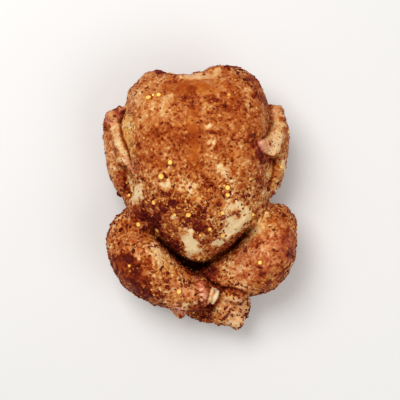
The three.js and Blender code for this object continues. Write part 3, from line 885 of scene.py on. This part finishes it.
coat = on_faces(paints["coat"])
smooth = on_faces(paints["smooth"])
height = on_faces(places[:, 2])
across = on_faces(plan[:, 0])
length = on_faces(plan[:, 1])
wiped_patches = [  # where hands or the board took crumbs off: both legs and the -X wing
    (52, -43, 34, 24, 56, 0.72), (-47, -48, 36, 23, -48, 0.45), (-57, -62, 23, 11, -54, 0.75),
    (-72, 34, 40, 9, 80, 0.45),
]
unwiped = 1 - on_faces(painted(wiped_patches, plan, ragged))
# How well crumbs hold: badly on smooth and on bare skin, in creases and under the bird.
crumbly = (1 - 0.8 * smooth) * (1 - on_faces(paints["crease"])) * np.clip(height / (12 * mm), 0.02, 1)
crumbly *= 1 - 0.94 * np.clip(on_faces(bare), 0, 1)
crumbly *= unwiped
soaked = 1 - 0.9 * np.clip(coat - 0.56, 0, 0.4)  # grains soaked in thick paste are darker
lower = between(length, 25 * mm, -15 * mm)  # the coarse part settled on the tail's half

ground = (0.3 + 0.5 * coat) * (0.45 + 0.55 * lower) * crumbly
grit = strew("paprika_grit", grains(5, 11, 0.4), 6800, ground, (0.9, 2.8), seed=21, stretch=0.5)
grain_look(grit, 0.55, [
    (0.1, 104, 28, 8), (0.4, 136, 46, 14), (0.7, 160, 72, 28), (0.9, 184, 102, 48), (1.0, 206, 138, 84),
])

# ------------------------------------------------------------------------------
# The chilli flakes: thin curled bits of dried chilli skin, cut small, and a few thicker torn pieces. They
# stick where the paste is thick, along the edge of one shoulder, and in small heaps on bare skin.


def chips(kinds, seed, thickness, curl):
    """Some thin flakes: uneven plates with seven corners, a little curled."""
    chance = np.random.default_rng(seed)
    models = []
    for _ in range(kinds):
        bpy.ops.mesh.primitive_cylinder_add(vertices=7, radius=0.5, depth=thickness, end_fill_type="TRIFAN")
        vertices, faces = take_mesh(bpy.context.object)
        angle = np.arctan2(vertices[:, 1], vertices[:, 0])
        waves = chance.uniform(0, math.tau, 2)
        rim = 1 + 0.22 * np.sin(2 * angle + waves[0]) + 0.16 * np.sin(3 * angle + waves[1])
        vertices[:, :2] *= rim[:, None]
        vertices[:, 1] *= chance.uniform(0.5, 0.95)
        vertices[:, 2] += curl * (vertices[:, 0] ** 2 - 0.08) * chance.uniform(0.4, 1.4)
        models.append((vertices, faces))
    return models


off_the_back = height > 20 * mm
shoulder_edge = distance_to_line(plan, [(24, 111), (33, 108.5), (42, 98), (46.5, 86)])
flake_heaps = [
    (29.2, -10, 2.8, 2.2, 30, 1), (32.6, -13.6, 2.4, 1.6, 40, 1), (25.8, -12.4, 1.8, 1.4, 0, 0.5),
    (21.3, -90.2, 2, 2, 0, 1), (32.7, -87.3, 1.8, 1.6, 0, 1), (11.5, -98, 3, 1.8, -10, 0.6),
    (29.8, -79.4, 2, 1.6, 0, 0.8), (-4.3, -20, 2.2, 2, 0, 0.6), (9.6, -89, 3, 2.4, -30, 0.8),
    (68, 68.3, 2, 1.8, 0, 0.6), (19, -99.5, 2.4, 1.6, 20, 0.8), (28, -91, 2, 1.4, 40, 0.8),
    (-34, 108, 3, 2.4, 0, 0.8),
]
in_clusters = 0.012 + 0.15 * lower + 5.5 * np.clip(coat - 0.58, 0, 1) * (0.1 + lower)
in_clusters += 0.8 * on_faces(np.exp(-((shoulder_edge / (2.4 * mm)) ** 2)))
in_heaps = 0.7 * on_faces(painted(flake_heaps, plan, ragged=0)) * off_the_back
bits = chips(4, 12, 0.14, 0.5) + grains(3, 15, 0.45, flatness=0.5)
density = in_clusters * crumbly + in_heaps
flakes = strew("chilli_flake", bits, 2160, density, (1.6, 4.6), 22, pressed=1, tilt=0.12, stretch=0.4)
grain_look(flakes, 0.42, [
    (0.1, 76, 14, 14), (0.45, 106, 30, 20), (0.8, 138, 54, 32), (1.0, 172, 92, 58),
])

in_paste = np.clip(coat - 0.66, 0, 1) * (0.1 + lower) * off_the_back * unwiped**2
torn = chips(5, 17, 0.3, 0.3) + grains(3, 18, 0.6, flatness=0.7)
clumps = strew("chilli_clump", torn, 150, in_paste, (2.4, 6), 26, pressed=0.42, stretch=0.5)
grain_look(clumps, 0.45, [
    (0.1, 54, 8, 14), (0.5, 84, 22, 20), (0.85, 118, 44, 32), (1.0, 156, 82, 58),
])

# ------------------------------------------------------------------------------
# The pepper: peppercorns cracked into brown specks, most of them on the tail's half of the bird, and finer
# dust of the same, which shows best on the pale skin of the wings.
speck_density = (0.05 + lower) * crumbly
pepper = strew("pepper_speck", grains(4, 13, 0.35), 850, speck_density, (1.1, 2.7), seed=23, pressed=0.5)
grain_look(pepper, 0.55, [
    (0.1, 96, 38, 16), (0.6, 122, 58, 30), (0.9, 148, 82, 48),
])

on_wings = (np.abs(across) > 54 * mm) * (length > 18 * mm) * (on_faces(normals[:, 2]) > 0.2)
dust_density = (0.07 + 1.6 * on_wings) * (height > 12 * mm)
dust = strew("fine_pepper", grains(3, 16, 0.4), 900, dust_density, (0.7, 1.7), seed=25)
grain_look(dust, 0.6, [
    (0.1, 124, 72, 44), (0.6, 148, 94, 60), (0.9, 176, 124, 84),
])

# ------------------------------------------------------------------------------
# The garlic: dried garlic and onion, broken into straw-coloured granules that the oil has turned golden.
# They lie on the middle of the breast and, fewer, all over the tail's half.
on_breast = np.exp(-((across / (46 * mm)) ** 2) - ((length + 6 * mm) / (28 * mm)) ** 2)
settled = (1.2 - coat) * (0.06 + 0.3 * lower + on_breast) * crumbly + 0.2 * np.clip(coat - 0.6, 0, 1) * lower
garlic = strew("garlic_granule", grains(4, 14, 0.45, flatness=0.7), 1200, settled, (1.2, 3.2), seed=24)
grain_look(garlic, 0.45, [
    (0.1, 178, 96, 46), (0.4, 196, 118, 60), (0.7, 216, 146, 72), (1.0, 236, 178, 96),
])

# ------------------------------------------------------------------------------
# The chilli seeds: flat golden discs about 4 mm across with a raised rim and a small dark eye. They lie where
# they fell, mostly on the breast, and some are stuck to the sides.
laid_seeds = [  # each seed's place on the plan and its size
    (-43.4, 85.5, 4.4), (-34.9, 88, 4), (-39.4, 88, 2.4), (-24.9, 31.5, 4.2), (-32.4, 20, 5),
    (-38.4, -2, 3.8), (-9.9, -12, 4.4), (23.1, 10.5, 4.4), (23.1, 4.5, 4), (18.6, -10.5, 3.6),
    (-51.9, -20, 4), (-35.4, -24.8, 4.2), (18.6, -29, 4.4), (-17.9, -76.5, 4.4), (50.6, -52.5, 4),
    (67.6, 28, 3.4), (44.1, -12, 3), (0.1, -29, 2.8), (8.1, -24, 3.2), (-59.4, -55, 2.6), (41.6, 18, 2.8),
    (-59.4, 4, 3), (-21.4, -12, 3),
]
seeds_on_sides = 14
flesh = BVHTree.FromPolygons(places.tolist(), triangles.tolist())
eye = Vector((0, 0, eye_height))
chance = np.random.default_rng(31)
seed_places, seed_ups, seed_sizes = [], [], []
for x, y, size in laid_seeds:
    toward = Vector((x * mm, y * mm, middle_height)) - eye
    hit, normal, _, _ = flesh.ray_cast(eye, toward.normalized())
    seed_places.append(hit)
    seed_ups.append(normal)
    seed_sizes.append(size)
on_sides = areas * (height > 12 * mm) * (np.abs(on_faces(normals[:, 2])) < 0.5)
on_sides *= on_faces(distance_to_line(plan, [(-40, -28), (-4, -57), (20, -44), (50, -13)])) > 15 * mm
for index in chance.choice(len(areas), size=seeds_on_sides, p=on_sides / on_sides.sum()):
    seed_places.append(Vector(corner_places[index].mean(axis=0)))
    seed_ups.append(Vector(normals[triangles[index]].mean(axis=0)))
    seed_sizes.append(chance.uniform(2.6, 4.4))
bpy.ops.mesh.primitive_uv_sphere_add(segments=16, ring_count=8, radius=0.5)
vertices, faces = take_mesh(bpy.context.object)
out = np.hypot(vertices[:, 0], vertices[:, 1]) / 0.5  # 0 in the middle and 1 at the rim
vertices[:, 2] *= 0.42 + 0.22 * np.exp(-((out - 0.7) / 0.2) ** 2) - 0.2 * np.exp(-(out / 0.3) ** 2)
vertices[:, 0] *= 1 + 0.12 * (vertices[:, 0] > 0)
count = len(seed_places)
turns = lay_flat(np.array(seed_ups) + chance.normal(0, 0.08, (count, 3)), chance)
sizes = np.array(seed_sizes)[:, None] * mm
centres = np.array(seed_places) + turns[:, :, 2] * 0.16 * sizes
tones = chance.uniform(0, 1, count)
disc = [(vertices, faces)]
seeds = strewn_mesh("chilli_seed", disc, np.zeros(count, int), turns, sizes * np.ones(3), centres, tones)
edge = seeds.data.attributes.new("edge", "FLOAT", "POINT")
edge.data.foreach_set("value", np.tile(out, count).astype(np.float32))
husk, look, surface = new_material("chilli_seed")
at = look.place()
ring = look.sum(look.paint("edge"), (look.spots(at, 1.2), 0.8), (look.paint("tone"), 0.12))
rings = [
    (0.0, 206, 130, 50), (0.16, 236, 176, 70), (0.35, 255, 220, 110), (0.72, 252, 200, 84),
    (0.95, 206, 122, 44),
]
look.put(surface, {
    "Base Color": look.shades(ring, rings),
    "Roughness": 0.35,
    "Subsurface Weight": 0.15,
    "Subsurface Radius": (1.0, 0.7, 0.3),
    "Subsurface Scale": 1.0 * mm,
    "Normal": look.relief(look.spots(at, 0.8), 0.3, 0.2),
})
seeds.data.materials.append(husk)

# ------------------------------------------------------------------------------
# The view, from straight above, and what isn't part of the bird: a pale floor and soft light.
eye_distance = eye_height - middle_height
frame_width = 336 * mm  # seen at the bird's middle height
sensor = 36
camera_data = bpy.data.cameras.new("camera")
camera_data.sensor_width = sensor
camera_data.lens = sensor * eye_distance / frame_width
camera = bpy.data.objects.new("camera", camera_data)
camera.location = (-0.1 * mm, 0.1 * mm, eye_height)  # a hair off the bird's middle
bpy.context.scene.collection.objects.link(camera)
bpy.context.scene.camera = camera

bpy.ops.mesh.primitive_plane_add(size=6, location=(0, 0, 0))
floor = bpy.context.object
floor.name = "floor"
pale_floor, look, surface = new_material("pale_floor")
look.put(surface, {"Base Color": (0.76, 0.75, 0.74, 1), "Roughness": 0.6})
floor.data.materials.append(pale_floor)

world = bpy.data.worlds.new("room")
world.use_nodes = True
air = world.node_tree.nodes["Background"]
Nodes(world.node_tree).put(air, {"Color": (1, 0.985, 0.96, 1), "Strength": 0.46})
bpy.context.scene.world = world


def soft_light(name, place, size, watts):
    """A square area light that faces the bird."""
    data = bpy.data.lights.new(name, "AREA")
    data.shape = "SQUARE"
    data.size = size
    data.energy = watts
    lamp = bpy.data.objects.new(name, data)
    lamp.location = place
    lamp.rotation_euler = (-Vector(place)).to_track_quat("-Z", "Y").to_euler()
    bpy.context.scene.collection.objects.link(lamp)


soft_light("key_light", (-0.45, 0.6, 1.3), 0.8, 16)
soft_light("fill_light", (0.8, -0.5, 1.1), 1.0, 6)
bpy.context.scene.view_settings.view_transform = "Standard"
